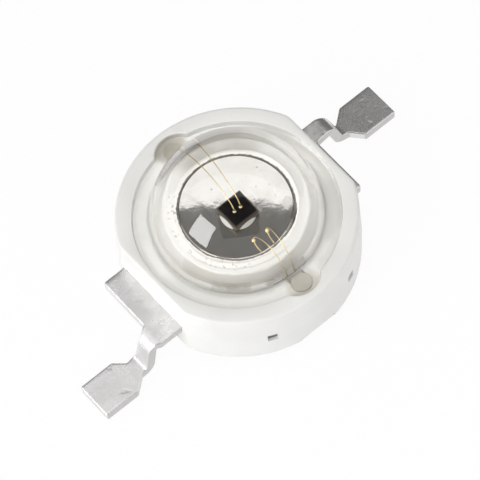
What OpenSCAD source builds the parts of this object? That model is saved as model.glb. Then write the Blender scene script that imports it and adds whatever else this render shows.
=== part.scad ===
// Infrared emitter for surface mounting: a round white moulding with two flats,
// a clear dome over a raised mirror, and two bent solder leads.
// X runs across the flats and along the leads, Z is up, and the origin is the
// middle of the solder face under the heat slug.

/* [Moulding] */
// Diameter of the moulding at its parting line
body_d = 8; // [7.7:0.05:8.6]
// Distance between the two flats at the parting line
flat_w = 7.3; // [7:0.02:7.5]
// Height of the top face above the board
top_z = 2.72; // [2.66:0.02:3.2]
// Gap between the moulding's underside and the board
stand_off = 0.27; // [0.15:0.02:0.6]
// Draft of the moulded walls in degrees
draft = 1.5; // [1:0.5:4]
// Rounding of the moulding's outer edges
edge_r = 0.1; // [0.04:0.01:0.16]
// Width of the flat gate mark low on one side
gate_w = 1.36; // [0.8:0.04:1.8]
// Depth of the gate mark
gate_depth = 0.12; // [0.08:0.01:0.2]
// Height of the gate mark above the underside
gate_h = 0.25; // [0.2:0.05:0.6]

/* [Lens] */
// Radius of the clear dome
dome_r = 2.84; // [2.7:0.02:2.9]
// Thickness of the dome's wall
dome_wall = 0.5; // [0.3:0.05:0.6]
// Radius of the lens flange
flange_r = 3.36; // [3.26:0.02:3.42]
// Thickness of the lens flange
flange_t = 0.35; // [0.25:0.05:0.4]
// Depth of the flange below the top face
flange_drop = 0.05; // [0:0.01:0.1]
// Rounding where the dome meets its flange
root_r = 0.12; // [0.05:0.01:0.2]
// Distance of each flange ear from the axis
ear_y = 2.88; // [2.8:0.02:2.96]
// Radius of each flange ear
ear_r = 0.78; // [0.66:0.02:0.8]
// Diameter of the filling hole in each ear
port_d = 0.62; // [0.4:0.02:0.66]
// Gap between the dome's foot and each filling hole
port_gap = 0.03; // [0.02:0.01:0.06]
// Gap between the flange and the wall of its seat
seat_gap = 0.05; // [0.02:0.01:0.1]

/* [Heat slug] */
// Diameter of the solder face
slug_d = 5.8; // [5:0.1:6.4]
// Thickness of the slug's base
slug_base_h = 0.9; // [0.8:0.05:1]
// Diameter of the slug's column
column_d = 3.1; // [3:0.05:3.3]
// Diameter of the raised mirror on the column
mirror_d = 2.76; // [2.4:0.02:2.9]
// Height of the mirror above the moulding's top face
mirror_rise = 0.04; // [0:0.01:0.08]
// Step from the mirror down to the column's shoulder
mirror_step = 0.06; // [0.04:0.01:0.1]
// Wall of the moulded collar around the column
collar_wall = 0.23; // [0.15:0.01:0.25]
// Step from the mirror down to the collar
collar_drop = 0.14; // [0.1:0.02:0.3]
// Rounding of the collar's outer edge
collar_edge = 0.07; // [0.03:0.01:0.1]
// Depth of the wire trough below the lens seat
trough_depth = 0.25; // [0.15:0.05:0.3]
// Outer radius of the wire trough at the lens seat
trough_r = 2.62; // [2.55:0.01:2.7]

/* [Leads] */
// Thickness of the lead sheet
lead_t = 0.35; // [0.25:0.01:0.38]
// Height of the sheet's underside where it leaves the moulding
lead_z = 1.22; // [1.15:0.01:1.3]
// Width of each lead's tab
tab_w = 2.92; // [2.6:0.04:3.2]
// Distance from the axis to the edge of the deep tab
deep_tab_x = 4.52; // [4.3:0.02:4.56]
// Distance from the axis to the edge of the shallow tab
shallow_tab_x = 4; // [3.9:0.02:4.2]
// Place of the neck's outer edge across the package
neck_out = 1.37; // [1.32:0.01:1.4]
// Place of the neck's inner edge at its upper bend
neck_in = 0.8; // [0.72:0.01:0.86]
// Place of the inner edge where the neck leaves the deep tab
deep_root = 0.58; // [0.5:0.01:0.64]
// Place of the inner edge where the neck leaves the shallow tab
shallow_root = 0.74; // [0.66:0.01:0.78]
// Place of the inner edge at the lower bend, under the deep tab
deep_waist = 0.69; // [0.64:0.01:0.8]
// Place of the inner edge at the lower bend, under the shallow tab
shallow_waist = 0.9; // [0.8:0.01:0.96]
// Level run of the neck between its upper bend and its waist
neck_lead = 0.11; // [0.06:0.01:0.16]
// Slope of the neck under the deep tab in degrees
deep_angle = 80; // [66:1:84]
// Slope of the neck under the shallow tab in degrees
shallow_angle = 72; // [66:1:84]
// Inner radius of both bends
bend_r = 0.13; // [0.08:0.01:0.18]
// Distance between the outer ends of the two pads
span = 14.3; // [13.9:0.05:15]
// Length of the solder pad's straight sides
pad_l = 1.3; // [1:0.05:1.4]
// Width of the solder pad
pad_w = 1.37; // [1.15:0.02:1.6]
// Distance from the pad's middle line to the package's middle line
pad_y = 1.09; // [1:0.01:1.2]
// Rounding of the pad's outer corners
pad_corner_r = 0.07; // [0.03:0.01:0.15]
// Width of each cut tie bar
tie_w = 0.35; // [0.25:0.01:0.5]
// Angle of each tie bar from the wire post
tie_angle = 24.5; // [20:0.5:28]
// Depth of each tie bar's cut end inside its slot
tie_recess = 0.1; // [0.05:0.01:0.2]
// Height of the wire post above the trough's floor
post_rise = 0.1; // [0.04:0.02:0.16]
// Width of the wire post
post_w = 1.2; // [1:0.05:1.4]

/* [Chip and wires] */
// Side of the square chip
chip_w = 0.72; // [0.6:0.02:0.8]
// Place of the chip's middle along the wires' direction
chip_y = -0.05; // [-0.08:0.01:0.08]
// Thickness of the chip
chip_h = 0.17; // [0.12:0.01:0.2]
// Width of the step around the chip's top edge
mesa_w = 0.015; // [0.01:0.005:0.03]
// Thickness of the bonding layer under the chip
bond_h = 0.03; // [0.02:0.005:0.04]
// Radius that the bonding paste spreads to
bond_r = 0.43; // [0.42:0.01:0.52]
// Height of the bonding fillet up the chip's sides
fillet_h = 0.1; // [0.06:0.01:0.12]
// Diameter of the gold wires
wire_d = 0.03; // [0.025:0.005:0.05]
// Diameter of each ball at a wire's start
ball_d = 0.1; // [0.09:0.005:0.14]
// Height of each ball
ball_h = 0.05; // [0.04:0.005:0.07]
// Distance between the two balls on the chip
chip_ball_pitch = 0.19; // [0.16:0.01:0.3]
// Distance between the two balls on the mirror
cup_ball_pitch = 0.42; // [0.3:0.01:0.5]
// Distance of the balls on the mirror from the axis
cup_ball_y = 0.86; // [0.6:0.01:0.9]
// Middle of the two balls on the chip, across the package
chip_ball_x = 0; // [-0.08:0.01:0.08]
// Middle of the two balls on the mirror
cup_ball_x = 0.02; // [-0.1:0.01:0.1]
// Middle of the chip wires' ends on their post
chip_stitch_x = 0.3; // [0:0.01:0.32]
// Middle of the cup wires' ends on their post
cup_stitch_x = 0.07; // [0:0.01:0.3]
// Distance between the chip wires' ends
chip_stitch_pitch = 0.36; // [0.2:0.02:0.4]
// Distance between the cup wires' ends
cup_stitch_pitch = 0.26; // [0.2:0.02:0.4]
// Height of the chip wires' loops above the balls
chip_loop = 0.38; // [0.3:0.02:0.6]
// Height of the cup wires' loops above the balls
cup_loop = 0.38; // [0.34:0.02:0.6]

/* [Hidden] */
$fn = 96;
cut = 1;
body_r = body_d / 2;
slope = tan(draft);
lead_top = lead_z + lead_t;
flange_top = top_z - flange_drop;
seat_z = flange_top - flange_t;
dome_z = flange_top - flange_drop;
void_r = dome_r - dome_wall;
column_r = column_d / 2;
mirror_r = mirror_d / 2;
mirror_z = top_z + mirror_rise;
shoulder_z = mirror_z - mirror_step;
collar_r = column_r + collar_wall;
collar_z = mirror_z - collar_drop;
trough_z = seat_z - trough_depth;
trough_lean = 0.12;
trough_floor_r = trough_r - trough_lean;
trough_mid = (collar_r + trough_floor_r) / 2;
port_y = dome_r + port_gap + port_d / 2;
post_z = trough_z + post_rise;
post_gap = 0.08;
post_in = collar_r + post_gap;
post_out = trough_floor_r - post_gap;
post_mid = (post_in + post_out) / 2;
frame_gap = 0.4;
frame_in = column_r + frame_gap;
frame_out = 3;
frame_end = 120;
bend_x = deep_tab_x;
bend_out = bend_r + lead_t;
chip_z = mirror_z + bond_h;
chip_top = chip_z + chip_h;
mesa_h = 0.02;
gel_drop = 0.06;
wire_sides = 8;
wire_rings = 24;

// The points of one rounded corner of an outline, from three corners as [x, y, radius].
function corner(before, at, after, n = 6) = let (
    p = [at[0], at[1]],
    u = [before[0], before[1]] - p,
    v = [after[0], after[1]] - p,
    toward = u / norm(u) + v / norm(v),
    mid = toward / norm(toward),
    half = acos(u * v / norm(u) / norm(v)) / 2,
    middle = p + mid * at[2] / sin(half),
    side = sign(u[0] * v[1] - u[1] * v[0])
) at[2] == 0 ? [p] : [
    for (i = [0:n]) let (a = side * (90 - half) * (1 - 2 * i / n))
        middle - at[2] * [mid[0] * cos(a) - mid[1] * sin(a), mid[0] * sin(a) + mid[1] * cos(a)]
];

// A closed outline with its corners rounded, from a list of [x, y, radius].
function rounded(list) = let (n = len(list)) [
    for (i = [0:n - 1]) each corner(list[(i + n - 1) % n], list[i], list[(i + 1) % n])
];

// Points along an arc from one angle to another.
function arc(centre, radius, from, to, n = 10) = [
    for (i = [0:n]) let (a = from + (to - from) * i / n) centre + radius * [cos(a), sin(a)]
];

// Points of a cubic curve between a and d, drawn towards b and c on its way.
function curve(a, b, c, d, n) = [
    for (i = [0:n]) let (t = i / n, s = 1 - t)
        s * s * s * a + 3 * s * s * t * b + 3 * s * t * t * c + t * t * t * d
];

// Upright unit normal of a path at its point i.
function upright(path, i) = let (
    step = path[min(i + 1, len(path) - 1)] - path[max(i - 1, 0)]
) [-step[1], step[0]] / norm(step);

// Part of a ring between two angles less than 180 degrees apart.
module ring_part(inner, outer, from, to) {
    spare = 1.1;
    reach = spare * outer / cos((to - from) / 2);
    intersection() {
        difference() {
            circle(outer);
            circle(inner);
        }
        polygon([[0, 0], reach * [cos(from), sin(from)], reach * [cos(to), sin(to)]]);
    }
}

// Side view of the drafted wall, from the middle out to its parting line.
function wall(reach) = [
    [0, stand_off, 0],
    [reach - (lead_z - stand_off) * slope, stand_off, edge_r / 2],
    [reach, lead_z, 0],
    [reach - (top_z - lead_z) * slope, top_z, edge_r],
    [0, top_z, 0]
];

// The plain drafted body, round with two flats.
module moulding() {
    half = rounded(wall(flat_w / 2));
    intersection() {
        rotate_extrude() polygon(rounded(wall(body_r)));
        rotate([90, 0, 0]) linear_extrude(body_d + cut, center = true) {
            polygon(half);
            mirror([1, 0]) polygon(half);
        }
    }
}

// Stepped pocket that the lens flange and its two ears drop into.
module lens_seat() {
    translate([0, 0, seat_z]) {
        cylinder(h = cut, r = flange_r + seat_gap);
        for (side = [-1, 1])
            translate([0, side * ear_y, 0]) cylinder(h = cut, r = ear_r + seat_gap);
    }
}

// Trough around the collar that bares the wire posts, with a channel to each filling hole.
module wire_trough() {
    rotate_extrude() polygon([
        [collar_r, trough_z], [trough_floor_r, trough_z], [trough_r, seat_z], [collar_r, seat_z]
    ]);
    for (side = [0, 180]) rotate([0, 0, side]) translate([0, 0, trough_z]) {
        translate([-port_d / 2, trough_mid, 0]) cube([port_d, port_y - trough_mid, trough_depth]);
        translate([0, port_y, 0]) cylinder(h = trough_depth, d = port_d);
    }
}

// Collar of white plastic around the slug's column.
module collar() {
    rotate_extrude() polygon(rounded([
        [column_r, trough_z, 0],
        [collar_r, trough_z, 0],
        [collar_r, collar_z, collar_edge],
        [column_r, collar_z, 0]
    ]));
}

// Slot in the wall that a tie bar was cut off in.
module tie_slots() {
    for (side = [-90, 90], swing = [-tie_angle, tie_angle])
        rotate([0, 0, side + swing]) translate([frame_out, -tie_w / 2, lead_z])
            cube([body_r, tie_w, lead_t]);
}

module housing() {
    color("whitesmoke") difference() {
        union() {
            difference() {
                moulding();
                lens_seat();
                wire_trough();
            }
            collar();
        }
        slug_body();
        for (side = [0, 180]) rotate([0, 0, side]) {
            lead_frame();
            tab_slot();
        }
        tie_slots();
        translate([-gate_w / 2, -body_r - cut, stand_off - cut])
            cube([gate_w, cut + gate_depth, cut + gate_h]);
    }
}

// The turned slug: a wide base, a column with a rounded shoulder, and the mirror on top.
module slug_body() {
    rim = 0.08;
    shoulder_r = 0.04;
    edge = 0.02;
    rotate_extrude() polygon(rounded([
        [0, 0, 0],
        [slug_d / 2, 0, rim],
        [slug_d / 2, slug_base_h, rim],
        [column_r, slug_base_h, 0],
        [column_r, shoulder_z, shoulder_r],
        [mirror_r, shoulder_z, edge],
        [mirror_r, mirror_z, edge],
        [0, mirror_z, 0]
    ]));
}

module heat_slug() { color("silver") slug_body(); }

// Distance from the axis to the middle of the lower bend, for a neck that slopes by angle.
function foot_x(angle) = let (
    reach = bend_r + bend_out,
    fall = lead_z - lead_t - 2 * bend_r + reach * cos(angle)
) bend_x + reach * sin(angle) + fall / tan(angle);

// Sheet seen from the side: flat out of the body, down the neck, flat along the board.
function bent_sheet(angle) = let (
    upper = [bend_x, lead_z - bend_r],
    lower = [foot_x(angle), bend_out],
    steep = 90 - angle
) concat(
    [[0, lead_top]],
    arc(upper, bend_out, 90, steep),
    arc(lower, bend_r, 180 + steep, 270),
    [[span / 2, lead_t], [span / 2, 0]],
    arc(lower, bend_out, 270, 180 + steep),
    arc(upper, bend_r, steep, 90),
    [[0, lead_z]]
);

// Outline of a lead's outer part seen from above: tab, neck and pad with its bevels.
// The inner edge of the neck leaves the tab at root, and passes the lower bend at waist.
// The neck's corners share the run between the upper bend and the pad.
function lead_outline(tab_x, root, waist) = let (
    tab_y = tab_w / 2,
    pad_end = span / 2,
    pad_start = pad_end - pad_l,
    neck_start = bend_x + bend_r + neck_lead,
    run = pad_start - neck_start,
    waist_x = neck_start + 0.34 * run,
    inner_bevel_x = neck_start + 0.65 * run,
    outer_bevel_x = neck_start + 0.54 * run,
    tab_r = 0.08,
    neck_r = 0.18 * run,
    waist_r = 0.27 * run,
    bevel_r = 0.11 * run
) rounded([
    [frame_in, -tab_y, 0],
    [tab_x, -tab_y, tab_r],
    [tab_x, root, tab_r],
    [neck_start, neck_in, neck_r],
    [waist_x, waist, waist_r],
    [inner_bevel_x, (waist + neck_in) / 2, bevel_r],
    [pad_start, pad_y - pad_w / 2, bevel_r],
    [pad_end, pad_y - pad_w / 2, pad_corner_r],
    [pad_end, pad_y + pad_w / 2, pad_corner_r],
    [pad_start, pad_y + pad_w / 2, bevel_r],
    [outer_bevel_x, neck_out, bevel_r],
    [neck_start, neck_out, neck_r],
    [bend_x, tab_y, 0],
    [frame_in, tab_y, 0]
]);

// Slot in the moulding that a lead's tab leaves by.
module tab_slot() {
    translate([0, 0, lead_z]) linear_extrude(lead_t) difference() {
        translate([0, -tab_w / 2]) square([body_r, tab_w]);
        circle(frame_in);
    }
}

// The rest of a lead inside the moulding: arm round the slug, two tie bars and wire post.
module lead_frame() {
    translate([0, 0, lead_z]) linear_extrude(lead_t) {
        ring_part(frame_in, frame_out, 0, frame_end);
        for (swing = [-tie_angle, tie_angle])
            rotate(90 + swing) translate([(frame_in + frame_out) / 2, -tie_w / 2])
                square([body_r - tie_recess - (frame_in + frame_out) / 2, tie_w]);
    }
    translate([0, 0, lead_z]) linear_extrude(post_z - lead_z) intersection() {
        difference() {
            circle(post_out);
            circle(post_in);
        }
        translate([-post_w / 2, 0]) square([post_w, post_out]);
    }
}

// A whole lead, with its tab towards +X and its wire post towards +Y.
module lead(tab_x, root, waist, angle) {
    lead_frame();
    intersection() {
        rotate([90, 0, 0]) linear_extrude(body_d, center = true) polygon(bent_sheet(angle));
        linear_extrude(top_z) difference() {
            polygon(lead_outline(tab_x, root, waist));
            circle(frame_in);
        }
    }
}

module anode_lead() {
    color("gainsboro") rotate([0, 0, 180]) lead(deep_tab_x, deep_root, deep_waist, deep_angle);
}

module cathode_lead() {
    color("gainsboro") lead(shallow_tab_x, shallow_root, shallow_waist, shallow_angle);
}

module chip_block() {
    translate([0, chip_y, chip_z]) {
        translate([-chip_w / 2, -chip_w / 2, 0]) cube([chip_w, chip_w, chip_h - mesa_h]);
        translate([mesa_w - chip_w / 2, mesa_w - chip_w / 2, chip_h - mesa_h])
            cube([chip_w - 2 * mesa_w, chip_w - 2 * mesa_w, mesa_h]);
    }
}

module emitter_chip() { color("black") chip_block(); }

// Silver paste under the chip, squeezed out into a bead along the middle of each side.
module die_attach() {
    bulge = 0.6;
    color("lightgray") difference() {
        translate([0, chip_y, mirror_z]) rotate_extrude() polygon([
            [0, 0],
            [bond_r, 0],
            [chip_w / 2 + bulge * (bond_r - chip_w / 2), bulge * fillet_h],
            [chip_w / 2, fillet_h],
            [0, fillet_h]
        ]);
        chip_block();
    }
}

// A gold wire from a ball at start to a flattened end at finish, in an upright plane.
// Each place is [x, y, z] of the face that the wire is bonded to.
module bond_wire(start, finish, loop) {
    flat = [finish[0] - start[0], finish[1] - start[1]];
    length = norm(flat);
    ball_top = start[2] + ball_h - wire_d / 4;
    stitch_h = 0.02;
    lead_in = 0.1;
    lead_out = 0.25;
    pull = 4 / 3;
    path = curve(
        [0, ball_top],
        [lead_in, ball_top + pull * loop],
        [length - lead_out, ball_top + pull * loop],
        [length, finish[2] + stitch_h],
        wire_rings
    );
    points = [
        for (i = [0:wire_rings]) let (up = upright(path, i))
            for (k = [0:wire_sides - 1]) let (a = 360 * k / wire_sides, r = wire_d / 2)
                [path[i][0] + r * cos(a) * up[0], r * sin(a), path[i][1] + r * cos(a) * up[1]]
    ];
    sides = [
        for (i = [0:wire_rings - 1], k = [0:wire_sides - 1])
            let (a = i * wire_sides + k, b = i * wire_sides + (k + 1) % wire_sides)
                each [[a, b, b + wire_sides], [a, b + wire_sides, a + wire_sides]]
    ];
    near = [for (k = [wire_sides - 1:-1:0]) k];
    far = [for (k = [0:wire_sides - 1]) wire_rings * wire_sides + k];
    translate([start[0], start[1], 0]) rotate([0, 0, atan2(flat[1], flat[0])])
        polyhedron(points, concat([near, far], sides));
    waist = ball_h / 2;
    translate(start) rotate_extrude() {
        translate([ball_d / 2 - waist, waist]) intersection() {
            circle(waist);
            translate([0, -waist]) square([waist, ball_h]);
        }
        square([ball_d / 2 - waist, ball_h]);
    }
    translate(finish) cylinder(h = stitch_h, d = 2 * wire_d);
}

// Two chip wires run from the chip to the +Y post, and two cup wires from the mirror, which
// lies where a reflector cup would, to the -Y post.
module chip_bond(side) {
    bond_wire([chip_ball_x + side * chip_ball_pitch / 2, chip_y, chip_top],
              [chip_stitch_x + side * chip_stitch_pitch / 2, post_mid, post_z], chip_loop);
}

module cup_bond(side) {
    bond_wire([cup_ball_x + side * cup_ball_pitch / 2, -cup_ball_y, mirror_z],
              [cup_stitch_x + side * cup_stitch_pitch / 2, -post_mid, post_z], cup_loop);
}

module chip_wire_a() { color("gold") chip_bond(-1); }
module chip_wire_b() { color("gold") chip_bond(1); }
module cup_wire_a() { color("gold") cup_bond(-1); }
module cup_wire_b() { color("gold") cup_bond(1); }

// Space under the dome, and up each filling hole to the given height.
module lens_void(hole_top) {
    translate([0, 0, dome_z]) intersection() {
        sphere(void_r);
        cylinder(h = dome_r, r = dome_r);
    }
    translate([0, 0, seat_z]) cylinder(h = dome_z - seat_z, r = void_r);
    for (side = [-1, 1])
        translate([0, side * port_y, seat_z]) cylinder(h = hole_top - seat_z, d = port_d);
}

// Soft clear gel that fills the dome and the trough.
module encapsulant() {
    color("lightcyan", 0.3) difference() {
        union() {
            lens_void(flange_top - gel_drop);
            wire_trough();
        }
        collar();
        heat_slug();
        die_attach();
        chip_block();
        lead_frame();
        rotate([0, 0, 180]) lead_frame();
        chip_bond(-1);
        chip_bond(1);
        cup_bond(-1);
        cup_bond(1);
    }
}

// Dome, flange and the fillet between them, seen from the side.
module lens_profile() {
    fillet_x = sqrt(pow(dome_r + root_r, 2) - pow(flange_top + root_r - dome_z, 2));
    translate([0, seat_z]) square([flange_r, flange_t]);
    translate([0, dome_z]) intersection() {
        circle(dome_r);
        square([dome_r, dome_r]);
    }
    difference() {
        translate([void_r, flange_top]) square([fillet_x - void_r, root_r]);
        translate([fillet_x, flange_top + root_r]) circle(root_r);
    }
}

module lens() {
    color("azure", 0.4) difference() {
        union() {
            rotate_extrude() lens_profile();
            for (side = [-1, 1])
                translate([0, side * ear_y, seat_z]) cylinder(h = flange_t, r = ear_r);
        }
        lens_void(top_z + cut);
        translate([0, 0, seat_z - cut]) cylinder(h = cut, r = void_r);
    }
}

housing();
heat_slug();
anode_lead();
cathode_lead();
die_attach();
emitter_chip();
chip_wire_a();
chip_wire_b();
cup_wire_a();
cup_wire_b();
encapsulant();
lens();
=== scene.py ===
# %% [markdown]
# An infrared emitter for surface mounting, dressed for its portrait.
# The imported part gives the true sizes, and this lesson gives the surfaces their finish: a white
# moulding, a clear dome filled with gel, a bright raised mirror, a black chip with gold wires,
# and two plated leads. Each piece but the plain chip is a smooth surface worked out with numpy,
# because a lens and a mirror show every flat facet that lies under them.

import bmesh
import bpy
import numpy as np
from mathutils import Matrix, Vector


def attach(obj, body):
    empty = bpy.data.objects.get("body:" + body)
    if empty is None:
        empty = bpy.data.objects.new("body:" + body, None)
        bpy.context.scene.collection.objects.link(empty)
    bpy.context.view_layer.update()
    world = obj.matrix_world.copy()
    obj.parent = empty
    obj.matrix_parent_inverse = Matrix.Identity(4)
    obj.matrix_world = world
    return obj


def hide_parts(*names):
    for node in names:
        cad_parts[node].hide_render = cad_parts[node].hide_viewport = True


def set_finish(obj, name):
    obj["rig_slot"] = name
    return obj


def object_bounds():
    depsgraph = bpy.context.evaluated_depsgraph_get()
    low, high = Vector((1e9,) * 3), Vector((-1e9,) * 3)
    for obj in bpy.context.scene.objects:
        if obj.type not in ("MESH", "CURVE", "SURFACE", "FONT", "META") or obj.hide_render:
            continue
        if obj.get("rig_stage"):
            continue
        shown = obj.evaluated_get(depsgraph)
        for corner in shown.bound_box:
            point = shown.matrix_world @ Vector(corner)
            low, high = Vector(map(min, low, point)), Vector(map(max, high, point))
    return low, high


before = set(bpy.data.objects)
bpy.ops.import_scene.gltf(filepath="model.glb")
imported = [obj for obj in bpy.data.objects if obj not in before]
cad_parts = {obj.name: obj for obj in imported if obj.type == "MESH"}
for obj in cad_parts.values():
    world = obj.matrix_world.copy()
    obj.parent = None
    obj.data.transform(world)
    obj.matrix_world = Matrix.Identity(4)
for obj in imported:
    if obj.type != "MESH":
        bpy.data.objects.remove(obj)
cad_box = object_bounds()
MM = 0.001
print("nodes:", ", ".join(sorted(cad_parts)))
print("size in mm:", [round((high - low) / MM, 2) for low, high in zip(*cad_box)])

# %% [markdown]
# The camera comes first, because everything is judged through it. The photograph looks down
# steeply from a long way off, so its lines hardly converge, and it is turned a little in its
# own plane. A camera that stays unshifted and aims beside the origin gives the same picture.

# %% Camera
PHOTO_SIDE = 480
CAMERA_AZIMUTH = -34.846
CAMERA_ELEVATION = 62.341
CAMERA_DISTANCE = 120 * MM
CAMERA_TURN = np.radians(-6.331)
FOCAL_PIXELS = 3646.75
ORIGIN_PIXEL = np.array([241.086, 251.976])
SENSOR = 36


def facing(azimuth, elevation, reach):
    """Unit side, up and back directions and the place of something that faces the object."""
    azimuth, elevation = np.radians([azimuth, elevation])
    level = np.cos(elevation)
    back = np.array([np.cos(azimuth) * level, np.sin(azimuth) * level, np.sin(elevation)])
    side = np.array([-np.sin(azimuth), np.cos(azimuth), 0])
    return side, np.cross(back, side), back, back * reach


def frame_of(right, up, back, place):
    """The matrix of an object whose own x, y and z axes point along the first three."""
    return Matrix([[right[i], up[i], back[i], place[i]] for i in range(3)] + [[0, 0, 0, 1]])


def make_camera():
    """A long lens, placed so that the origin falls on its pixel of the photograph."""
    side, upright, back, place = facing(CAMERA_AZIMUTH - 90, CAMERA_ELEVATION, CAMERA_DISTANCE)
    right = np.cos(CAMERA_TURN) * side + np.sin(CAMERA_TURN) * upright
    up = np.cross(back, right)
    away = (ORIGIN_PIXEL - PHOTO_SIDE / 2) * CAMERA_DISTANCE / FOCAL_PIXELS
    place += up * away[1] - right * away[0]
    camera = bpy.data.objects.new("camera", bpy.data.cameras.new("camera"))
    camera.data.sensor_width = SENSOR
    camera.data.lens = SENSOR * FOCAL_PIXELS / PHOTO_SIDE
    camera.data.clip_start = 5 * MM
    camera.matrix_world = frame_of(right, up, back, place)
    bpy.context.scene.collection.objects.link(camera)
    bpy.context.scene.camera = camera
    return camera


camera = make_camera()
print("lens", round(camera.data.lens, 1), "mm, camera at", [round(v / MM, 1) for v in camera.location])

# %% [markdown]
# The sizes below are those of the real package, in millimetres, as the part's source has them.
# Three differ a little, after the photograph: the fillet at the dome's foot, the shallow tab and
# the thickness of the wires. Heights are above the board, and most follow from a few others.

# %% Sizes of the package
BODY_R, FLAT_X, TOP_Z, STAND_OFF, DRAFT = 4.0, 3.65, 2.72, 0.27, 1.5
LEAD_T, LEAD_Z = 0.35, 1.22
LEAD_TOP = LEAD_Z + LEAD_T
DOME_R, VOID_R, FLANGE_R, ROOT_R = 2.84, 2.34, 3.36, 0.05
FLANGE_TOP, SEAT_Z, SEAT_GAP = TOP_Z - 0.05, TOP_Z - 0.4, 0.05
DOME_Z = FLANGE_TOP - 0.05
EAR_Y, EAR_R, PORT_Y, PORT_R = 2.88, 0.78, 3.18, 0.31
TROUGH_Z, TROUGH_R, TROUGH_FLOOR_R = SEAT_Z - 0.25, 2.62, 2.5
SLUG_R, SLUG_BASE, COLUMN_R, COLLAR_R = 2.9, 0.9, 1.55, 1.78
MIRROR_R, MIRROR_Z = 1.38, TOP_Z + 0.04
SHOULDER_Z, COLLAR_Z = MIRROR_Z - 0.06, MIRROR_Z - 0.14
TIE_ANGLE, TIE_W, TIE_END, TIE_PROUD = 24.5, 0.35, 3.9, 0.04
GATE_W, GATE_TOP, GATE_Y = 1.36, STAND_OFF + 0.25, 3.88
TAB_Y, DEEP_TAB, SHALLOW_TAB = 1.46, 4.52, 4.04
BEND_X, BEND_R, DEEP_ANGLE, SHALLOW_ANGLE = DEEP_TAB, 0.13, 80, 72
NECK_X, NECK_IN, NECK_OUT = BEND_X + BEND_R + 0.11, 0.8, 1.37
PAD_END, PAD_START, PAD_Y, PAD_W = 7.15, 5.85, 1.09, 1.37
POST_IN, POST_OUT, POST_W, POST_Z = COLLAR_R + 0.08, TROUGH_FLOOR_R - 0.08, 1.2, TROUGH_Z + 0.1
POST_Y = (POST_IN + POST_OUT) / 2
CHIP_W, CHIP_Y, CHIP_TOP = 0.72, -0.05, MIRROR_Z + 0.2
BALL_D, BALL_H, WIRE_D = 0.1, 0.05, 0.021
PIECES, TINY = {}, 1e-6

# %% [markdown]
# Every surface here is a grid of points: rows and columns, each point worked out by a formula.
# One helper joins neighbouring points with four-sided faces, and another gathers several such
# skins into one mesh, merges the points that fall together at poles and seams, and turns the
# faces outwards. Edges that bend more than a set angle stay crisp, and all others shade smoothly.

# %% From grids to meshes
def skin(points, loop_rows=False, loop_columns=False):
    """Points (rows, columns, 3) and the faces between neighbours. A looped way joins its ends."""
    rows, columns = points.shape[:2]
    i, j = np.meshgrid(
        np.arange(rows if loop_rows else rows - 1),
        np.arange(columns if loop_columns else columns - 1),
        indexing="ij",
    )
    below, beside = (i + 1) % rows, (j + 1) % columns
    corners = [i * columns + j, i * columns + beside, below * columns + beside, below * columns + j]
    return points.reshape(-1, 3), np.stack([c.ravel() for c in corners], 1)


def piece(name, skins, slot, replaces=(), crisp=30):
    """One object from several skins in millimetres. Edges that bend over crisp degrees stay sharp."""
    starts = np.cumsum([0] + [len(points) for points, _ in skins])
    points = np.concatenate([points for points, _ in skins]) * MM
    faces = np.concatenate([faces + start for (_, faces), start in zip(skins, starts)])
    mesh = bpy.data.meshes.new(name)
    mesh.vertices.add(len(points))
    mesh.vertices.foreach_set("co", points.ravel())
    mesh.loops.add(faces.size)
    mesh.loops.foreach_set("vertex_index", faces.ravel())
    mesh.polygons.add(len(faces))
    mesh.polygons.foreach_set("loop_start", np.arange(0, faces.size, 4))
    mesh.update(calc_edges=True)
    work = bmesh.new()
    work.from_mesh(mesh)
    bmesh.ops.remove_doubles(work, verts=work.verts, dist=1e-8)
    bmesh.ops.recalc_face_normals(work, faces=work.faces)
    work.to_mesh(mesh)
    work.free()
    mesh.shade_smooth()
    mesh.set_sharp_from_angle(angle=np.radians(crisp))
    made = bpy.data.objects.new(name, mesh)
    bpy.context.scene.collection.objects.link(made)
    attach(made, "root")
    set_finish(made, slot)
    if replaces:
        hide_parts(*replaces)
    PIECES[name] = made
    triangles = sum(len(p.vertices) - 2 for p in mesh.polygons)
    print(f"{name}: {len(mesh.vertices)} points, {triangles} triangles")
    return made


# %% [markdown]
# Most outlines on this package are straight lines with small rounded corners, as a mould or a
# press leaves them. One function rounds each corner of a list by its own radius. Another carries
# rows round the axis, as a lathe does. Where ears or channels stick out, the reach of a row
# changes with the angle.

# %% Rounded and turned outlines
def rounded(corners, steps=6, closed=False):
    """A path through corners [a, b, radius], each turned into an arc that touches both sides."""
    corners = np.asarray(corners, float)
    count = len(corners)
    path = []
    for k, (a, b, radius) in enumerate(corners):
        at = np.array([a, b])
        end = not closed and k in (0, count - 1)
        if radius == 0 or end:
            path.append(at[None])
            continue
        before = corners[k - 1][:2] - at
        after = corners[(k + 1) % count][:2] - at
        before, after = before / np.linalg.norm(before), after / np.linalg.norm(after)
        inward = (before + after) / np.linalg.norm(before + after)
        half = np.arccos(np.clip(before @ after, -1, 1)) / 2
        middle = at + inward * radius / np.sin(half)
        side = np.sign(before[0] * after[1] - before[1] * after[0])
        turn = side * (np.pi / 2 - half) * (1 - 2 * np.arange(steps + 1) / steps)
        spoke = np.stack([
            inward[0] * np.cos(turn) - inward[1] * np.sin(turn),
            inward[0] * np.sin(turn) + inward[1] * np.cos(turn),
        ], 1)
        path.append(middle - radius * spoke)
    return np.concatenate(path)


def fine_angles(extra=(), step=0.75):
    """Angles round the package in degrees, evenly spaced, with extra lines where edges fall."""
    return np.radians(np.sort(np.concatenate([np.arange(0, 360, step), np.mod(extra, 360)])))


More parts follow.
